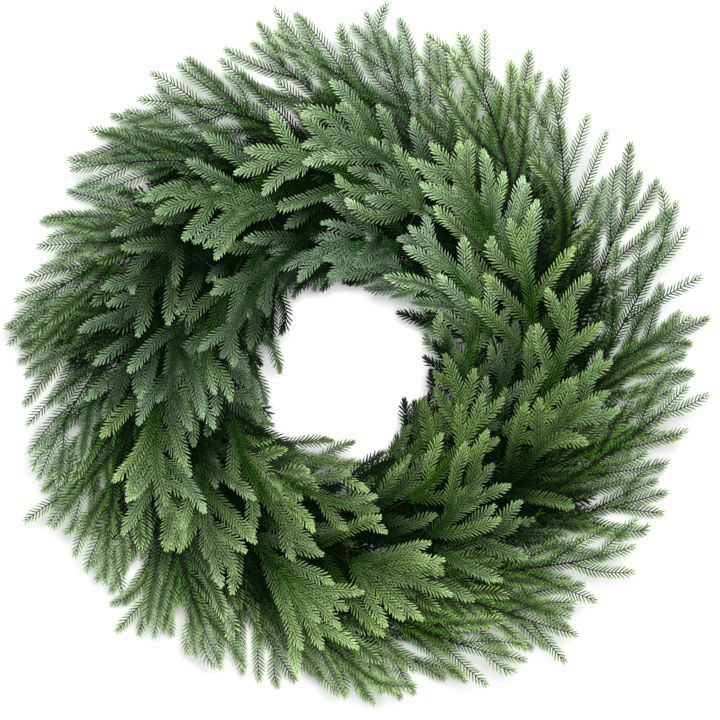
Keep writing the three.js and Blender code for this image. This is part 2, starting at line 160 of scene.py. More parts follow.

# Each kind of spray: length of needle, gap between whorls, rows of needles, the roll of
# the first row from the top and of each row after it, the lean of the side rows, the
# share of sprays that lie with their undersides up, a lean of colour from olive (0) to
# blue (1), age and painted shade of the growth from fresh (0 or less) to old and dark (1)
# before chance is added, paleness of tips, and how much of the cut end is bare. The dark
# values of the deep and rim sprays are mostly painted shade of the wreath's depths and hole.
FLAT = dict(shape="plain", bare=12 * MM, rows=2, first_row=78, next_row=0, lean=46)
FULL = dict(shape="full", bare=8 * MM, rows=5, first_row=42, next_row=46, lean=45)
DEEP = dict(shape="plain", bare=0.0, rows=4, first_row=50, next_row=60, lean=45)
SPRAYS = {
    "low_outer": dict(needle=0.9, pitch=3.2 * MM, turned=0.6, blue=0.2, age=-0.3, tips=0.7, **FLAT),
    "high_outer": dict(needle=0.92, pitch=3.2 * MM, turned=0.25, blue=0.35, age=-0.25, tips=0.9, **FLAT),
    "face": dict(needle=0.94, pitch=3.3 * MM, turned=0.0, blue=0.45, age=0.16, tips=1.04, **FULL),
    "inner": dict(needle=0.9, pitch=3.3 * MM, turned=0.1, blue=0.55, age=0.15, tips=0.92, **FULL),
    "deep": dict(needle=1.25, pitch=5.2 * MM, turned=0.0, blue=0.35, age=0.9, tips=0.2, **DEEP),
    "fringe": dict(needle=0.88, pitch=3.2 * MM, turned=0.4, blue=0.2, age=-0.3, tips=0.7, **FLAT),
    "tuft": dict(needle=0.9, pitch=3.2 * MM, turned=0.0, blue=0.45, age=0.1, tips=1.04, **FULL),
    "arch": dict(needle=0.88, pitch=3.2 * MM, turned=0.0, blue=0.5, age=0.06, tips=1.08, **FULL),
    "rim": dict(needle=0.94, pitch=3.2 * MM, turned=0.2, blue=0.8, age=0.85, tips=0.3, **FULL),
}

# ---- Sprays that fill in between the bound sprigs ----
# Each kind: how many at a bundle, the range of places for its root (out from the middle
# of the ring's tube, and down from the crown), its heading at the root and its turn to
# the tip (from straight outwards, the way the wreath swirls), length, rise, and its twigs.
FILLERS = {
    "deep": dict(
        count=9, out=(-34 * MM, 40 * MM), depth=(62 * MM, 90 * MM), heading=(68, 122),
        turn=(-35, 15), length=(70 * MM, 115 * MM), rise=(-4 * MM, 14 * MM),
        twigs=9, twig_length=(36 * MM, 50 * MM), twig_angle=38,
    ),
    "fringe": dict(
        count=2, out=(0 * MM, 30 * MM), depth=(54 * MM, 86 * MM), heading=(60, 84),
        turn=(-16, 10), length=(112 * MM, 206 * MM), rise=(0, 12 * MM),
        twigs=7, twig_length=(46 * MM, 92 * MM), twig_angle=28,
    ),
    "tuft": dict(
        count=1, out=(-40 * MM, 48 * MM), depth=(8 * MM, 34 * MM), heading=(52, 118),
        turn=(-45, 40), length=(54 * MM, 96 * MM), rise=(0, 12 * MM),
        twigs=4, twig_length=(50 * MM, 76 * MM), twig_angle=30,
    ),
    "arch": dict(
        count=1, out=(-52 * MM, -16 * MM), depth=(12 * MM, 44 * MM), heading=(82, 120),
        turn=(20, 52), length=(90 * MM, 140 * MM), rise=(-10 * MM, 6 * MM),
        twigs=5, twig_length=(36 * MM, 60 * MM), twig_angle=30,
    ),
    "rim": dict(
        count=1, out=(-46 * MM, -32 * MM), depth=(26 * MM, 58 * MM), heading=(110, 138),
        turn=(-10, 16), length=(54 * MM, 84 * MM), rise=(-4 * MM, 6 * MM),
        twigs=3, twig_length=(34 * MM, 50 * MM), twig_angle=24,
    ),
}
FILLER_SEED = SEED + 100
FILLER_STEPS = 8
SPREAD_LIMIT = 4 * MM  # how far past the solids' box a filling spray may reach
SHRINK = 0.93  # a spray that reaches too far is made smaller by this, until it doesn't
BOUND_BACK = 0.14  # radians round the ring from a spray's root back to where wire holds it
BOUND_REACH = 18 * MM
BOUND_HEIGHT = 40 * MM
BOUND_STEPS = 3
FIRST_TWIG = 0.14  # its place as a share of the stem
TWIG_SPAN = 0.8  # the share of the stem that twigs are spread over
TWIG_PLACE_CHANCE = 0.2  # as a share of the gap between twigs
TWIG_ANGLE_CHANCE = 7
TWIG_CLIMB = (-0.16, 0.2)  # upwards, to a length of one along the twig
TWIG_SHORTENING = 0.55  # towards the stem's tip


# ---- Node graphs: one helper for shaders and for geometry ----
class Field:
    """An output socket that takes part in ordinary expressions."""

    def __init__(self, graph, socket):
        self.graph = graph
        self.socket = socket

    def out(self, name):
        return Field(self.graph, self.socket.node.outputs[name])

    def _combine(self, operation, other, swapped=False):
        sockets = [self.socket] + ([other.socket] if isinstance(other, Field) else [])
        vector = any(socket.type in ("VECTOR", "RGBA") for socket in sockets)
        kind = "ShaderNodeVectorMath" if vector else "ShaderNodeMath"
        pair = (other, self) if swapped else (self, other)
        return self.graph.add(kind, {"operation": operation}, dict(enumerate(pair)))

    def __add__(self, other):
        return self._combine("ADD", other)

    def __radd__(self, other):
        return self._combine("ADD", other, swapped=True)

    def __sub__(self, other):
        return self._combine("SUBTRACT", other)

    def __rsub__(self, other):
        return self._combine("SUBTRACT", other, swapped=True)

    def __mul__(self, other):
        return self._combine("MULTIPLY", other)

    def __truediv__(self, other):
        return self._combine("DIVIDE", other)

    def math(self, operation, other=0.0):
        return self._combine(operation, other)

    def clamped(self, low=0.0, high=1.0):
        return self.math("MAXIMUM", low).math("MINIMUM", high)


class Graph:
    """A node tree that is filled node by node."""

    def __init__(self, tree):
        self.tree = tree

    def add(self, kind, settings=None, sockets=None):
        """Adds a node, with its settings first, and returns its first output."""
        node = self.tree.nodes.new(kind)
        for name, value in (settings or {}).items():
            setattr(node, name, value)
        for name, value in (sockets or {}).items():
            for item in value if isinstance(value, list) else [value]:
                self.feed(item, self.find(node.inputs, name))
        outputs = [socket for socket in node.outputs if socket.enabled]
        return Field(self, outputs[0]) if outputs else node

    def find(self, inputs, name):
        if isinstance(name, int):
            return inputs[name]
        return next(socket for socket in inputs if socket.name == name and socket.enabled)

    def feed(self, value, socket):
        if isinstance(value, Field):
            self.tree.links.new(value.socket, socket)
        elif socket.type in ("VECTOR", "RGBA") and isinstance(value, (int, float)):
            socket.default_value = (value,) * len(socket.default_value)
        else:
            socket.default_value = value


# ---- Finishes ----
class Finish(Graph):
    """A material with a Principled surface."""

    def __init__(self, name):
        self.material = bpy.data.materials.new(name)
        self.material.use_nodes = True
        super().__init__(self.material.node_tree)
        self.surface = self.tree.nodes["Principled BSDF"]

    def attribute(self, name):
        return self.add("ShaderNodeAttribute", {"attribute_name": name}).out("Fac")

    def noise(self, size, detail=2.0):
        place = self.add("ShaderNodeTexCoord").out("Object")
        sockets = {"Vector": place, "Scale": 1 / size, "Detail": detail}
        return self.add("ShaderNodeTexNoise", {}, sockets)

    def blend(self, share, first, second):
        sockets = {"Factor": share, "A": first, "B": second}
        return self.add("ShaderNodeMix", {"data_type": "RGBA"}, sockets)

    def bump(self, height, strength, distance):
        sockets = {"Height": height, "Strength": strength, "Distance": distance}
        return self.add("ShaderNodeBump", {}, sockets)

    def set(self, **values):
        for name, value in values.items():
            self.feed(value, self.surface.inputs[name.replace("_", " ")])
        return self.material


def srgb(red, green, blue):
    """A colour given as 0 to 255 on screen, in the linear values of a shader."""
    linear = [((c / 255 + 0.055) / 1.055) ** 2.4 for c in (red, green, blue)]
    return (*linear, 1.0)


def needle_finish():
    finish = Finish("evergreen_needle")
    along = finish.attribute("along")
    sprout = finish.attribute("sprout")
    tint = finish.attribute("tint")
    blue = finish.attribute("blue")
    age = finish.attribute("age")
    leaf = finish.blend(blue, srgb(68, 118, 22), srgb(52, 109, 46))
    # The dark root colour is painted shade at the foot of each needle, where it sits among the others by
    # the stem.
    root = finish.blend(blue, srgb(9, 26, 3), srgb(7, 28, 9))
    # Pale young growth at the tips, near-white further out on each needle: partly real fresh growth,
    # partly painted highlight.
    fresh_and_highlight = finish.blend(blue, srgb(202, 236, 150), srgb(210, 244, 206))
    past_root_shade = (along * 2.0 - 0.36).clamped()
    pale_and_highlight_share = (sprout * (0.18 + along * along * 1.2)).clamped()
    colour = finish.blend(past_root_shade, root, leaf)
    colour = finish.blend(pale_and_highlight_share, colour, fresh_and_highlight)
    # Old growth and painted shade both darken the needles towards near-black green.
    colour = finish.blend(age, colour, srgb(7, 25, 5))
    patch = finish.noise(30 * MM)
    shade = 0.6 + tint * 0.2 + patch * 0.8
    finish.set(Base_Color=colour * shade, Roughness=0.44 + finish.noise(1.2 * MM) * 0.2)
    return finish.set(Specular_IOR_Level=0.09)


def bark_finish():
    finish = Finish("young_bark")
    sprout = finish.attribute("sprout")
    grain = finish.noise(2.5 * MM, 4.0)
    old = finish.blend(grain, srgb(10, 10, 4), srgb(26, 24, 11))
    young = finish.blend(grain, srgb(52, 74, 30), srgb(84, 110, 54))
    youth = (sprout * 1.8 - 0.25).clamped()
    finish.set(Base_Color=finish.blend(youth, old, young), Roughness=0.6 + grain * 0.25)
    return finish.set(Normal=finish.bump(grain, 0.5, 0.4 * MM), Specular_IOR_Level=0.1)


def wire_finish(name, colour, worn_colour):
    finish = Finish(name)
    patch = finish.noise(6 * MM, 4.0)
    worn = ((patch - 0.6) * 9).clamped()
    finish.set(Base_Color=finish.blend(worn, colour, worn_colour), Roughness=0.32 + patch * 0.3)
    return finish.set(Metallic=worn * 0.8, Normal=finish.bump(patch, 0.2, 0.2 * MM))


def floor_finish():
    finish = Finish("studio_floor")
    shade = finish.blend(finish.noise(0.4), srgb(233, 233, 233), srgb(238, 238, 238))
    return finish.set(Base_Color=shade, Roughness=0.9)


# ---- Reading a sprig from its solid ----
class Spray:
    """A stem from its cut end to its tip, the way up along it, its twigs, and the length
    of its bound end."""

    def __init__(self, stem, upper, twigs, bound=0.0):
        self.stem = stem
        self.upper = upper
        self.twigs = twigs
        self.bound = bound


def read_sprig(node):
    solid = bmesh.new()
    solid.from_mesh(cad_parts[node].data)
    bmesh.ops.remove_doubles(solid, verts=solid.verts, dist=SAME_CORNER)
    tips = [corner for corner in solid.verts if len(corner.link_edges) == 3]
    twigs = [twig for twig in map(read_twig, tips) if twig]
    rings = read_stem(solid)
    solid.free()
    upper = [upper_side(ring) for ring in rings[:-1]]
    return Spray([middle_of(ring) for ring in rings], upper + upper[-1:], twigs)


def middle_of(ring):
    return sum(ring, Vector()) / len(ring)


def read_twig(tip):
    """The root and the tip of a twig, or nothing where the point is a needle's."""
    ring = [edge.other_vert(tip).co.copy() for edge in tip.link_edges]
    middle = middle_of(ring)
    girth = sum((corner - middle).length for corner in ring) / len(ring)
    if girth < SOLID_NEEDLE_GIRTH:
        return None
    point = tip.co.copy()
    return point + (middle - point) / (1 - SOLID_TWIG_SHOULDER), point


def is_stem_tip(corner):
    if len(corner.link_edges) != 4:
        return False
    reaches = [edge.calc_length() for edge in corner.link_edges]
    return max(reaches) - min(reaches) < SAME_REACH


def read_stem(solid):
    """The stem's rings of corners, from the cut end to the tip."""
    tip = next(corner for corner in solid.verts if is_stem_tip(corner))
    steps = [(tip, edge.other_vert(tip)) for edge in tip.link_edges]
    rings = [[tip.co.copy()]]
    while steps:
        rings.append([corner.co.copy() for _, corner in steps])
        steps = [(corner, next_along(corner, before)) for before, corner in steps]
        steps = steps if all(corner for _, corner in steps) else []
    return rings[::-1]


def next_along(corner, before):
    """The next corner along the same ridge of the stem."""
    sharp = math.radians(SOLID_RIDGE)
    ridges = [edge for edge in corner.link_edges if edge.calc_face_angle() > sharp]
    ahead = [edge.other_vert(corner) for edge in ridges if edge.other_vert(corner) != before]
    return ahead[0] if len(ahead) == 1 else None


def upper_side(ring):
    """The way out through the side of a square ring that looks up most."""
    corners = [corner - middle_of(ring) for corner in ring]
    sides = [a + b for a in corners for b in corners if a is not b]
    return max(sides, key=lambda way: way.z).normalized()


# ---- Sprays that are grown from a rule ----
def ring_point(angle, out, up):
    """A place by its angle round the ring, its way out from the ring and its height."""
    reach = RING_RADIUS + out
    x = ring_centre.x + reach * math.cos(angle)
    y = ring_centre.y + reach * math.sin(angle)
    return Vector((x, y, up))


def crown_height(out):
    reach = CROWN_REACH_IN if out < 0 else CROWN_REACH_OUT
    return CROWN_HEIGHT * math.sqrt(max(0.0, 1 - (out / reach) ** 2))


def level_way(angle):
    return Vector((math.cos(angle), math.sin(angle), 0))


def grown_spray(bundle, kind, dice):
    """A spray of this kind at a bundle, short enough to stay with the others."""
    angle = (bundle + dice.random()) * math.tau / BUNDLES
    out = dice.uniform(*kind["out"])
    place = ring_point(angle, out, crown_height(out) - dice.uniform(*kind["depth"]))
    heading = angle + math.radians(dice.uniform(*kind["heading"]))
    turn = math.radians(dice.uniform(*kind["turn"]))
    length = dice.uniform(*kind["length"])
    rise = dice.uniform(*kind["rise"])
    stem = [place]
    for i in range(FILLER_STEPS):
        ahead = level_way(heading + turn * i / FILLER_STEPS) * length / FILLER_STEPS
        climb = UP * rise * math.cos(math.pi * i / FILLER_STEPS) * 2 / FILLER_STEPS
        stem.append(over_table(stem[-1] + ahead + climb))
    tilt = Quaternion(level_way(heading), dice.uniform(-ROLL_CHANCE, ROLL_CHANCE))
    twigs = grown_twigs(stem, kind, dice)
    while not all(within_reach(point) for point in [stem[-1], *(tip for _, tip in twigs)]):
        stem = [drawn_in(point, place) for point in stem]
        twigs = [(drawn_in(root, place), drawn_in(tip, place)) for root, tip in twigs]
    bound = bound_end(angle, out, place)
    stem = bound + stem
    return Spray(stem, [tilt @ UP] * len(stem), twigs, (place - bound[0]).length)


def drawn_in(point, place):
    return place + (point - place) * SHRINK


def bound_end(angle, out, place):
    """The bare end of a filling spray, from under the wire at the ring to its root."""
    out = min(BOUND_REACH, max(-BOUND_REACH, out))
    held = ring_point(angle - BOUND_BACK, out, min(place.z, BOUND_HEIGHT))
    return [held.lerp(place, i / BOUND_STEPS) for i in range(BOUND_STEPS)]


def within_reach(point):
    sides = zip(point.xy, cad_low.xy, cad_high.xy)
    return all(low - SPREAD_LIMIT < part < high + SPREAD_LIMIT for part, low, high in sides)


def over_table(point):
    return Vector((point.x, point.y, max(point.z, NEEDLE_LENGTH)))


def grown_twigs(stem, kind, dice):
    """Twigs to the left and the right in turn, shorter towards the tip."""
    twigs = []
    for i in range(kind["twigs"]):
        step = i + dice.uniform(-TWIG_PLACE_CHANCE, TWIG_PLACE_CHANCE)
        share = FIRST_TWIG + TWIG_SPAN * step / kind["twigs"]
        place = share * (len(stem) - 1)
        near = stem[int(place)]
        ahead = (stem[int(place) + 1] - near).normalized()
        foot = near + (stem[int(place) + 1] - near) * (place - int(place))
        side = 1 if i % 2 else -1
        angle = kind["twig_angle"] + dice.uniform(-TWIG_ANGLE_CHANCE, TWIG_ANGLE_CHANCE)
        along = Quaternion(UP, math.radians(angle) * side) @ ahead
        along = (along + UP * dice.uniform(*TWIG_CLIMB)).normalized()
        length = dice.uniform(*kind["twig_length"]) * (1 - TWIG_SHORTENING * share)
        root = foot + along * SOLID_TWIG_START
        twigs.append((root, over_table(root + along * length)))
    return twigs


# ---- Axes: the lines that bark and needles follow ----
class Axes:
    """Open chains of points, each with the values that growth reads along it."""

    VALUES = ("thickness", "fullness", "to_tip", "sprout", "blue", "age")

    def __init__(self):
        self.points = []
        self.edges = []
        self.upper = []
        self.values = {name: [] for name in self.VALUES}

    def add_chain(self, points, upper, **values):
        start = len(self.points)
        self.points += points
        self.upper += upper
        self.edges += [(start + i, start + i + 1) for i in range(len(points) - 1)]
        for name in self.VALUES:
            self.values[name] += values[name]

    def to_object(self, name):
        mesh = bpy.data.meshes.new(name)
        mesh.from_pydata(self.points, self.edges, [])
        upper = mesh.attributes.new("upper", "FLOAT_VECTOR", "POINT")
        upper.data.foreach_set("vector", [part for way in self.upper for part in way])
        for key, numbers in self.values.items():
            mesh.attributes.new(key, "FLOAT", "POINT").data.foreach_set("value", numbers)
        return add_object(name, mesh)


def add_object(name, data):
    piece = bpy.data.objects.new(name, data)
    bpy.context.scene.collection.objects.link(piece)
    return piece


def smooth_path(points, steps):
    """A curve through the points, with some steps from each to the next."""
    ends = [2 * points[0] - points[1], *points, 2 * points[-1] - points[-2]]
    path = []
    for before, start, end, after in zip(ends, ends[1:], ends[2:], ends[3:]):
        for i in range(steps):
            t = i / steps
            pull = (end - before) * t + (2 * before - 5 * start + 4 * end - after) * t**2
            path.append(start + 0.5 * (pull + (3 * start - before - 3 * end + after) * t**3))
    return path + [points[-1]]


def reaches_to_tip(points):
    """How far each point of a chain is from its last point, along the chain."""
    reaches = [0.0]
    for near, far in zip(points[::-1], points[-2::-1]):
        reaches.append(reaches[-1] + (near - far).length)
    return reaches[::-1]


def nearest(points, place):
    return min(range(len(points)), key=lambda i: (points[i] - place).length)


def tapered(reaches, tip, root):
    return [tip + (root - tip) * reach / reaches[0] for reach in reaches]


def ageing(reaches, tip_age_and_light):
    """Age along a stem, from the youngest growth at its tip to old growth far behind it."""
    start, full = OLD_GROWTH
    shares = [limited((reach - start) / (full - start)) for reach in reaches]
    return [limited(tip_age_and_light + OLD_AGE * share) for share in shares]


def shaded(point):
    """How much painted shade, added to the age, darkens growth under the crown of the wreath and round
    its hole.
    """
    out = (point - ring_centre).xy.length - RING_RADIUS
    deep = limited((crown_height(out) - point.z - UNSHADED_DEPTH) / BURIED_DEPTH)
    start, full = HOLE_EDGE
    return max(BURIED_SHADE * deep, HOLE_SHADE * limited((out - start) / (full - start)))


# Adds the painted shade of the wreath's depths and hole to the ages along a chain.
def with_painted_shade(ages_and_shade, points):
    return [limited(age + shaded(point)) for age, point in zip(ages_and_shade, points)]


def sprouting(reaches, paleness):
    return [paleness * max(0.0, 1 - reach / SPROUT_ZONE) for reach in reaches]


def limited(value):
    return min(1.0, max(0.0, value))


def leaning(point, direction, sides=1):
    """From -1 to 1, how far a place lies towards a direction from the frame's origin.
    With two sides, the opposite one counts as much."""
    return math.cos((math.atan2(point.y, point.x) - math.radians(direction)) * sides)


def add_spray(axes, spray, traits, dice):
    """The chains of one spray. Some sprays lie with their undersides up."""
    flip = -1 if dice.random() < traits["turned"] else 1
    end = spray.stem[-1]
    young_side = leaning(end, YOUNGEST, sides=2)
    blue = traits["blue"] + BLUE_LEAN * leaning(end, BLUEST)
    blue = limited(blue + dice.uniform(*SPRAY_CHANCE["blue"]))
    tip_age_and_light = traits["age"] - YOUNG_LEAN * young_side + dice.uniform(*SPRAY_CHANCE["age"])
    # Painted light: sprays on the lit side get less age, so they come out paler.
    tip_age_and_light -= LIT_SIDE_LEAN * leaning(end, LIT_SIDE)
    paleness = traits["tips"] * (PALENESS + PALE_LEAN * young_side)
    stem = smooth_path(spray.stem, STEPS)
    upper = [flip * side for side in smooth_path(spray.upper, STEPS)]
    to_tip = reaches_to_tip(stem)
    ages_and_shade = ageing(to_tip, limited(tip_age_and_light))
    roots = [nearest(stem, root) for root, _ in spray.twigs]
    first_twig = to_tip[0] - to_tip[min(roots)]
    bare = spray.bound + min(first_twig - spray.bound, traits["bare"])
    cut_radius = STEM_CUT_RADIUS * min(1, to_tip[0] / LONG_STEM)
    axes.add_chain(
        stem,
        upper,
        thickness=tapered(to_tip, STEM_TIP_RADIUS, cut_radius),
        fullness=[0.0 if to_tip[0] - reach < bare else 1.0 for reach in to_tip],
        to_tip=to_tip,
        sprout=sprouting(to_tip, paleness),
        blue=[blue] * len(stem),
        age=with_painted_shade(ages_and_shade, stem),
    )
    for (root, tip), foot in zip(spray.twigs, roots):
        hue = limited(blue + dice.uniform(*TWIG_CHANCE["blue"]))
        age = limited(ages_and_shade[foot] + dice.uniform(*TWIG_CHANCE["age"]))
        add_twig(axes, root, tip, stem[foot], upper[foot], hue, age, paleness, dice)


def add_twig(axes, root, tip, stem_point, stem_upper, blue, age, paleness, dice):
    along = (tip - root).normalized()
    start = root - along * SOLID_TWIG_START
    swing = Quaternion(UP, math.radians(dice.uniform(-TWIG_SWING, TWIG_SWING)))
    span = swing @ (tip - along * NEEDLES_PAST_TWIG - start)
    outwards = (root - stem_point).normalized()
    curled = dice.random() < CURLED_SHARE
    curl = dice.uniform(*CURL) * dice.choice((-1, 1)) if curled else 0
    bow = outwards * span.length * (TWIG_BOW + curl + dice.uniform(*BOW_CHANCE))
    bow += stem_upper * span.length * dice.uniform(-SAG_CHANCE, SAG_CHANCE)
    shares = [i / TWIG_STEPS for i in range(TWIG_STEPS + 1)]
    points = [start + span * t + bow * 4 * t * (1 - t) for t in shares]
    to_tip = reaches_to_tip(points)
    flip = -1 if stem_upper.z < 0 else 1
    upper = (stem_upper + UP * flip).normalized()
    upper = Quaternion(along, dice.uniform(-ROLL_CHANCE, ROLL_CHANCE)) @ upper
    from_root = [(to_tip[0] - reach) / ROOT_ZONE for reach in to_tip]
    twig_age_and_shade = [age * (TWIG_TIP_AGE + (1 - TWIG_TIP_AGE) * reach / to_tip[0]) for reach in to_tip]
    axes.add_chain(
        points,
        [upper] * len(points),
        thickness=tapered(to_tip, TWIG_TIP_RADIUS, TWIG_ROOT_RADIUS),
        fullness=[min(1.0, ROOT_FULLNESS + (1 - ROOT_FULLNESS) * part) for part in from_root],
        to_tip=to_tip,
        sprout=sprouting(to_tip, paleness),
        blue=[blue] * len(points),
        age=with_painted_shade(twig_age_and_shade, points),
    )


# ---- Growth: bark and needles along the axes ----
def growth_tree():
    """Sweeps bark along each chain and sets rows of needles round it."""
    tree = bpy.data.node_groups.new("evergreen_growth", "GeometryNodeTree")
    inputs = (
        ("Axes", "NodeSocketGeometry"),
        ("Needle", "NodeSocketObject"),
        ("Needle Scale", "NodeSocketFloat"),
        ("Pitch", "NodeSocketFloat"),
        ("Rows", "NodeSocketInt"),
        ("First Row", "NodeSocketFloat"),
        ("Next Row", "NodeSocketFloat"),
        ("Top Lean", "NodeSocketFloat"),
        ("Side Lean", "NodeSocketFloat"),
        ("Tip Zone", "NodeSocketFloat"),
        ("Tuft Reach", "NodeSocketFloat"),
        ("Seed", "NodeSocketInt"),
        ("Needle Finish", "NodeSocketMaterial"),
        ("Bark Finish", "NodeSocketMaterial"),
    )
    for name, kind in inputs:
        tree.interface.new_socket(name, in_out="INPUT", socket_type=kind)
    tree.interface.new_socket("Spray", in_out="OUTPUT", socket_type="NodeSocketGeometry")
    graph = Graph(tree)
    given = graph.add("NodeGroupInput").out
    curves = graph.add("GeometryNodeMeshToCurve", {}, {"Mesh": given("Axes")})
    grown = [needle_rows(graph, given, curves), bark_sweep(graph, given, curves)]
    joined = graph.add("GeometryNodeJoinGeometry", {}, {"Geometry": grown})
    graph.add("NodeGroupOutput", {}, {"Spray": joined})
    return tree


def named(graph, name, kind="FLOAT"):
    return graph.add("GeometryNodeInputNamedAttribute", {"data_type": kind}, {"Name": name})


def vector(graph, operation, *values):
    settings = {"operation": operation}
    return graph.add("ShaderNodeVectorMath", settings, dict(enumerate(values)))


def chance(graph, given, spread, salt):
    sockets = {"Min": -spread, "Max": spread, "Seed": given("Seed") + salt}
    return graph.add("FunctionNodeRandomValue", {"data_type": "FLOAT"}, sockets)


def needle_points(graph, given, curves):
    """A point for each needle, and the number of its row from the top, to either side."""
    full = graph.add("GeometryNodeSplineLength")
    sockets = {"Curve": curves, "Start": full - given("Tuft Reach"), "End": full}
    ends = graph.add("GeometryNodeTrimCurve", {"mode": "LENGTH"}, sockets)
    both = graph.add("GeometryNodeJoinGeometry", {}, {"Geometry": [curves, ends]})
    sockets = {"Curve": both, "Length": given("Pitch")}
    stations = graph.add("GeometryNodeCurveToPoints", {"mode": "LENGTH"}, sockets)
    bare = named(graph, "fullness").math("LESS_THAN", 0.5)
    sockets = {"Geometry": stations, "Selection": bare}
    leafy = graph.add("GeometryNodeDeleteGeometry", {"domain": "POINT"}, sockets)
    sockets = {"Geometry": leafy, "Amount": given("Rows")}
    points = graph.add("GeometryNodeDuplicateElements", {"domain": "POINT"}, sockets)
    row = points.out("Duplicate Index") - (given("Rows") - 1) / 2
    return points, row, stations.out("Tangent")


def needle_rows(graph, given, curves):
    points, row, tangent = needle_points(graph, given, curves)
    hand = row.math("SIGN")
    roll = hand * given("First Row") + (row - hand) * given("Next Row")
    roll = roll + chance(graph, given, NEEDLE_CHANCE["roll"], 1)
    upper = named(graph, "upper", "FLOAT_VECTOR")
    side = vector(graph, "NORMALIZE", vector(graph, "CROSS_PRODUCT", upper, tangent))
    upper = vector(graph, "CROSS_PRODUCT", tangent, side)
    outward = upper * roll.math("COSINE") + side * roll.math("SINE")

    nearness = (1 - named(graph, "to_tip") / given("Tip Zone")).clamped()
    sideways = roll.math("SINE").math("ABSOLUTE")
    lean = given("Top Lean") + (given("Side Lean") - given("Top Lean")) * sideways
    lean = lean * (1 - nearness * TIP_CLOSING) + chance(graph, given, NEEDLE_CHANCE["lean"], 2)
    heading = tangent * lean.math("COSINE") + outward * lean.math("SINE")

    stagger = row.math("ABSOLUTE").math("MODULO", 2.0) * 0.5
    stagger = stagger + chance(graph, given, NEEDLE_CHANCE["place"], 3)
    foot = outward * (named(graph, "thickness") * NEEDLE_FOOT)
    offset = tangent * (stagger * given("Pitch")) + foot
    placed = graph.add("GeometryNodeSetPosition", {}, {"Geometry": points, "Offset": offset})

    length = given("Needle Scale") * named(graph, "fullness") * (1 - nearness * TIP_SHORTENING)
    length = length * (TOP_NEEDLE + sideways * (1 - TOP_NEEDLE))
    length = length * (1 + chance(graph, given, NEEDLE_CHANCE["length"], 4))
    width = length.math("POWER", 0.5)
    size = graph.add("ShaderNodeCombineXYZ", {}, {"X": width, "Y": width, "Z": length})
    axes = {"primary_axis": "Z", "secondary_axis": "X"}
    ways = {"Primary Axis": heading, "Secondary Axis": upper}
    turned = graph.add("FunctionNodeAxesToRotation", axes, ways)
    needle = graph.add("GeometryNodeObjectInfo", {}, {"Object": given("Needle")}).out("Geometry")
    sockets = {"Points": placed, "Instance": needle, "Rotation": turned, "Scale": size}
    needles = graph.add("GeometryNodeInstanceOnPoints", {}, sockets)
    settings = {"data_type": "FLOAT", "domain": "INSTANCE"}
    sockets = {"Geometry": needles, "Name": "tint", "Value": chance(graph, given, 1.0, 5)}
    tinted = graph.add("GeometryNodeStoreNamedAttribute", settings, sockets)
    real = graph.add("GeometryNodeRealizeInstances", {}, {"Geometry": tinted})
    return set_finish(graph, real, given("Needle Finish"))


def set_finish(graph, geometry, finish):
    return graph.add("GeometryNodeSetMaterial", {}, {"Geometry": geometry, "Material": finish})


def bark_sweep(graph, given, curves):
    thickness = named(graph, "thickness")
    section = graph.add("GeometryNodeCurvePrimitiveCircle", {}, {"Resolution": BARK_SIDES, "Radius": 1.0})
    sockets = {"Curve": curves, "Profile Curve": section, "Scale": thickness, "Fill Caps": True}
    bark = graph.add("GeometryNodeCurveToMesh", {}, sockets)
    return set_finish(graph, bark, given("Bark Finish"))


def needle_template(profile):
    """One needle along +Z with its keel towards +X, closed at both ends."""
    mesh = bmesh.new()
    along = mesh.verts.layers.float.new("along")
    edges = [(-NEEDLE_BACK, NEEDLE_HALF_WIDTH), (-NEEDLE_BACK, -NEEDLE_HALF_WIDTH)]
    section = [(NEEDLE_KEEL, 0), *edges]
    rings = []
    for share, girth in profile:
        places = [(x * girth, y * girth, share * NEEDLE_LENGTH) for x, y in section]
        rings.append([mesh.verts.new(place) for place in places])
        for corner in rings[-1]:
            corner[along] = share
    point = mesh.verts.new((0, 0, NEEDLE_LENGTH))
    point[along] = 1.0
    for low, high in zip(rings, rings[1:]):
        for i in range(3):
            mesh.faces.new((low[i - 1], low[i], high[i], high[i - 1]))
    for i in range(3):
        mesh.faces.new((rings[-1][i - 1], rings[-1][i], point))
    mesh.faces.new(rings[0][::-1])
    data = bpy.data.meshes.new("needle")
    mesh.to_mesh(data)
    mesh.free()
    return add_object("needle", data)


def grow(axes, traits, tree, needles, finishes, seed):
    """Turns axes into one plain mesh with its bark and needles."""
    values = {
        "Needle": needles[traits["shape"]],
        "Needle Scale": traits["needle"],
        "Pitch": traits["pitch"],
        "Rows": traits["rows"],
        "First Row": math.radians(traits["first_row"]),
        "Next Row": math.radians(traits["next_row"]),
        "Top Lean": math.radians(TOP_LEAN),
        "Side Lean": math.radians(traits["lean"]),
        "Tip Zone": TIP_ZONE,
        "Tuft Reach": TUFT_REACH,
        "Seed": seed,
        **finishes,
    }
    modifier = axes.modifiers.new("growth", "NODES")
    modifier.node_group = tree
    for item in tree.interface.items_tree:
        if item.name in values:
            modifier[item.identifier] = values[item.name]
    piece = applied(axes)
    for name in ("upper", "thickness", "fullness", "to_tip"):
        spent = piece.data.attributes.get(name)
        if spent:
            piece.data.attributes.remove(spent)
    return piece


def applied(piece):
    """A plain mesh object in the place of a piece with live modifiers."""
    ready = piece.evaluated_get(bpy.context.evaluated_depsgraph_get())
    mesh = bpy.data.meshes.new_from_object(ready)
    name = piece.name
    bpy.data.objects.remove(piece)
    mesh.name = name
    return add_object(name, mesh)


def hand_over(piece, slot, *nodes):
    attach(piece, "root")
    for node in nodes:
        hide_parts(node)


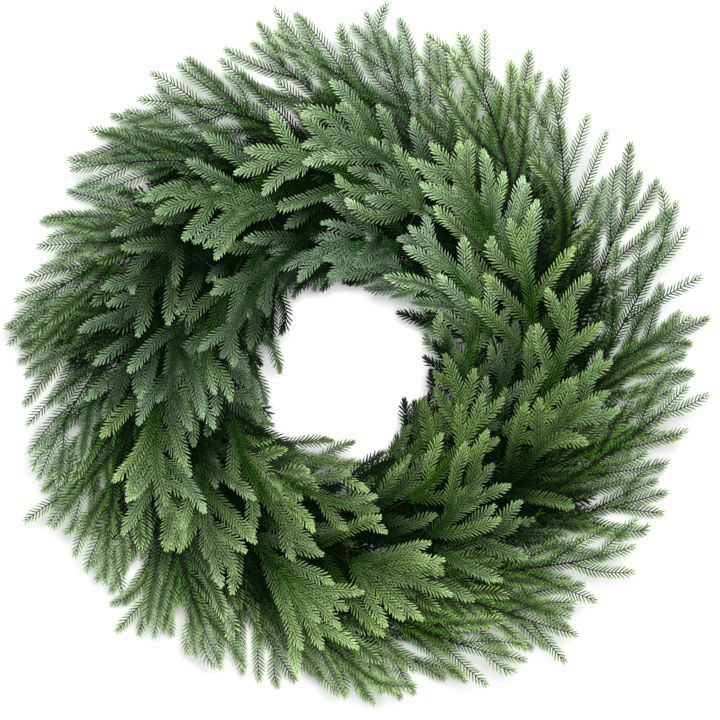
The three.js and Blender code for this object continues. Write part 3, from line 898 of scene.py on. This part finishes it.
def grow_evergreens():
    tree = growth_tree()
    needles = {shape: needle_template(profile) for shape, profile in NEEDLE_PROFILES.items()}
    finishes = {"Needle Finish": needle_finish(), "Bark Finish": bark_finish()}
    sprigs = sorted(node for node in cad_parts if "_sprig_" in node)
    for number, node in enumerate(sprigs):
        traits = SPRAYS[node.split("_sprig_")[0]]
        seed = SEED + number
        axes = Axes()
        add_spray(axes, read_sprig(node), traits, random.Random(seed))
        piece = grow(axes.to_object("dressed_" + node), traits, tree, needles, finishes, seed)
        hand_over(piece, "evergreen", node)
    for name, kind in FILLERS.items():
        for bundle in range(BUNDLES):
            seed = FILLER_SEED + bundle
            dice = random.Random(f"{name} {seed}")
            axes = Axes()
            for _ in range(kind["count"]):
                add_spray(axes, grown_spray(bundle, kind, dice), SPRAYS[name], dice)
            chains = axes.to_object(f"{name}_sprays_{bundle + 1:02}")
            piece = grow(chains, SPRAYS[name], tree, needles, finishes, seed)
            hand_over(piece, "evergreen")
    for needle in needles.values():
        bpy.data.objects.remove(needle)


# ---- The ring and the binding wire ----
def wire_tube(name, chains, radius, finish):
    """Round wire along chains of points, each of them open or closed."""
    curve = bpy.data.curves.new(name, "CURVE")
    curve.dimensions = "3D"
    curve.bevel_depth = radius
    curve.bevel_resolution = 3
    curve.use_fill_caps = True
    for points, closed in chains:
        spline = curve.splines.new("POLY")
        spline.points.add(len(points) - 1)
        for place, point in zip(spline.points, points):
            place.co = (*point, 1)
        spline.use_cyclic_u = closed
    piece = applied(add_object(name, curve))
    piece.data.materials.clear()
    piece.data.materials.append(finish)
    for face in piece.data.polygons:
        face.use_smooth = True
    return piece


def brace_points(angle):
    """An arch from the inner rail over the middle rail to the outer rail."""
    foot, top = RAIL_HEIGHTS[:2]
    inner = ring_point(angle, RAIL_OFFSETS[0], foot)
    outer = ring_point(angle, RAIL_OFFSETS[2], foot)
    crown = ring_point(angle, 0, 2 * top - foot)
    shares = [i / BRACE_STEPS for i in range(BRACE_STEPS + 1)]
    return [inner * (1 - t) ** 2 + crown * 2 * t * (1 - t) + outer * t**2 for t in shares]


def make_frame():
    turns = [math.tau * i / RAIL_STEPS for i in range(RAIL_STEPS)]
    finish = wire_finish("frame_enamel", srgb(22, 42, 25), srgb(66, 62, 52))
    places = zip(RAIL_OFFSETS, RAIL_HEIGHTS)
    rails = [([ring_point(turn, out, up) for turn in turns], True) for out, up in places]
    angles = [math.radians(BRACE_START + 360 * i / BRACES) for i in range(BRACES)]
    braces = [(brace_points(angle), False) for angle in angles]
    ring = wire_tube("wire_frame_rails", rails, RAIL_WIRE, finish)
    cross = wire_tube("wire_frame_braces", braces, BRACE_WIRE, finish)
    hand_over(ring, "frame_wire", "wire_frame")
    hand_over(cross, "frame_wire", "wire_frame")


def binding_point(turns):
    """A place on the binding wire, counted in bundles bound so far."""
    turn = math.floor(turns)
    share = turns - turn
    looping = min(1.0, share / (1 - BINDING_LINK_SHARE))
    linking = max(0.0, share - 1 + BINDING_LINK_SHARE) / BINDING_LINK_SHARE
    around = BINDING_START + BINDING_TURN * looping + (360 - BINDING_TURN) * linking
    around = math.radians(around)
    advance = BINDING_ADVANCE * looping + (1 - BINDING_ADVANCE) * linking
    angle = (turn + 0.5 + advance) * math.tau / BUNDLES
    out = BINDING_ACROSS * math.cos(around)
    return ring_point(angle, out, BINDING_MIDDLE + BINDING_HIGH * math.sin(around))


def make_binding():
    count = BUNDLES * BINDING_STEPS
    points = [binding_point(BUNDLES * i / count) for i in range(count)]
    finish = wire_finish("binding_wire_lacquer", srgb(22, 42, 24), srgb(70, 70, 60))
    wire = wire_tube("binding_wire_coil", [(points, True)], BINDING_WIRE, finish)
    hand_over(wire, "binding_wire", "binding_wire")


# ---- Studio ----
PHOTO_SIDE_PX = 720
MM_PER_PIXEL = 0.852
OUTLINE_MIDDLE_PX = (360, 356.5)
VIEW_HEIGHT = 60 * MM  # of the plane that the photo's scale holds for
CAMERA_DISTANCE = 3.0
SENSOR = 36.0
FLOOR_HALF_SIDE = 4
SKY_STRENGTH = 0.11
LIGHTS = {
    "key": dict(place=(0.1, 0.28, 2.4), size=1.0, power=75),
    "fill": dict(place=(-0.5, -0.2, 2.3), size=1.8, power=16),
}


def make_camera():
    data = bpy.data.cameras.new("camera")
    data.sensor_width = SENSOR
    data.lens = SENSOR * CAMERA_DISTANCE / (PHOTO_SIDE_PX * MM_PER_PIXEL * MM)
    camera = add_object("camera", data)
    right = (PHOTO_SIDE_PX / 2 - OUTLINE_MIDDLE_PX[0]) * MM_PER_PIXEL * MM
    down = (PHOTO_SIDE_PX / 2 - OUTLINE_MIDDLE_PX[1]) * MM_PER_PIXEL * MM
    middle = (cad_low + cad_high) / 2
    camera.location = (middle.x + right, middle.y - down, VIEW_HEIGHT + CAMERA_DISTANCE)
    bpy.context.scene.camera = camera


def make_light(name, place, size, power):
    data = bpy.data.lights.new(name, "AREA")
    data.shape = "DISK"
    data.size = size
    data.energy = power
    light = add_object(name, data)
    light.location = place
    light.rotation_euler = (-Vector(place)).to_track_quat("-Z", "Y").to_euler()


def make_studio():
    floor = bmesh.new()
    bmesh.ops.create_grid(floor, x_segments=1, y_segments=1, size=FLOOR_HALF_SIDE)
    data = bpy.data.meshes.new("studio_floor")
    floor.to_mesh(data)
    floor.free()
    data.materials.append(floor_finish())
    add_object("studio_floor", data)
    world = bpy.data.worlds.new("studio")
    world.use_nodes = True
    sky = world.node_tree.nodes["Background"].inputs
    sky["Color"].default_value = (1, 1, 1, 1)
    sky["Strength"].default_value = SKY_STRENGTH
    bpy.context.scene.world = world
    bpy.context.scene.view_settings.view_transform = "Standard"
    for name, light in LIGHTS.items():
        make_light(name, **light)


grow_evergreens()
make_frame()
make_binding()
make_camera()
make_studio()
